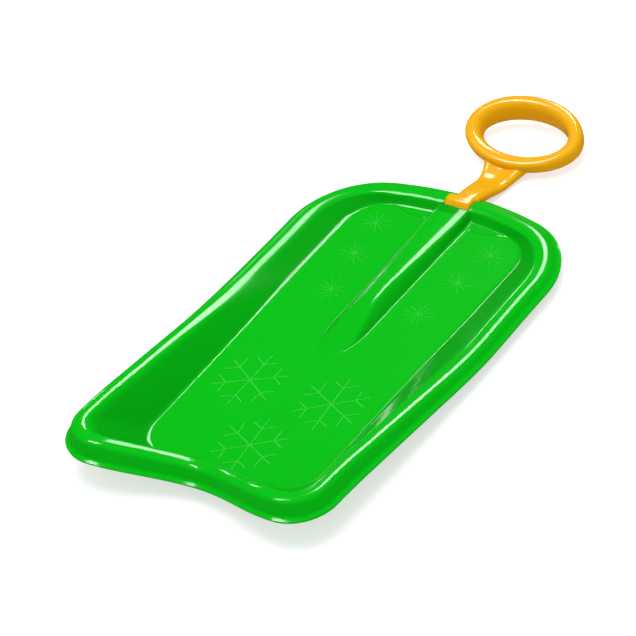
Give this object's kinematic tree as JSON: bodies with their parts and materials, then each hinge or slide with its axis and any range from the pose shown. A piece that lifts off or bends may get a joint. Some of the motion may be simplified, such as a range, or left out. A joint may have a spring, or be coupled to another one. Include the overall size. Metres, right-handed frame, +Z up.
{
  "type": "children's snow sled",
  "caption": "Moulded tray sled with a rolled rim that rises to the rear, a raised middle ridge and a ring pull handle hinged at the nose.",
  "frame": {"origin": "on the ground, under the middle of the whole object's box", "axes": "+Z up, +Y forward from the tray to the pull handle along the longest extent, +X to the rider's right"},
  "size_m": [0.378, 0.755, 0.0661],
  "materials": {
    "tray_plastic": "glossy bright green moulded polypropylene",
    "handle_plastic": "glossy warm yellow moulded polypropylene",
    "pin_steel": "satin zinc-plated steel"
  },
  "bodies": {
    "sled": {"sled_shell": "tray_plastic", "hinge_pin": "pin_steel", "pin_retainer": "pin_steel"},
    "handle": {"pull_handle": "handle_plastic"}
  },
  "joints": [
    {"name": "handle_hinge", "type": "hinge", "parent": "sled", "child": "handle", "pos_m": [0, 0.1909, 0.0225], "axis": [1, 0, 0], "range_deg": [0, 110]}
  ]
}
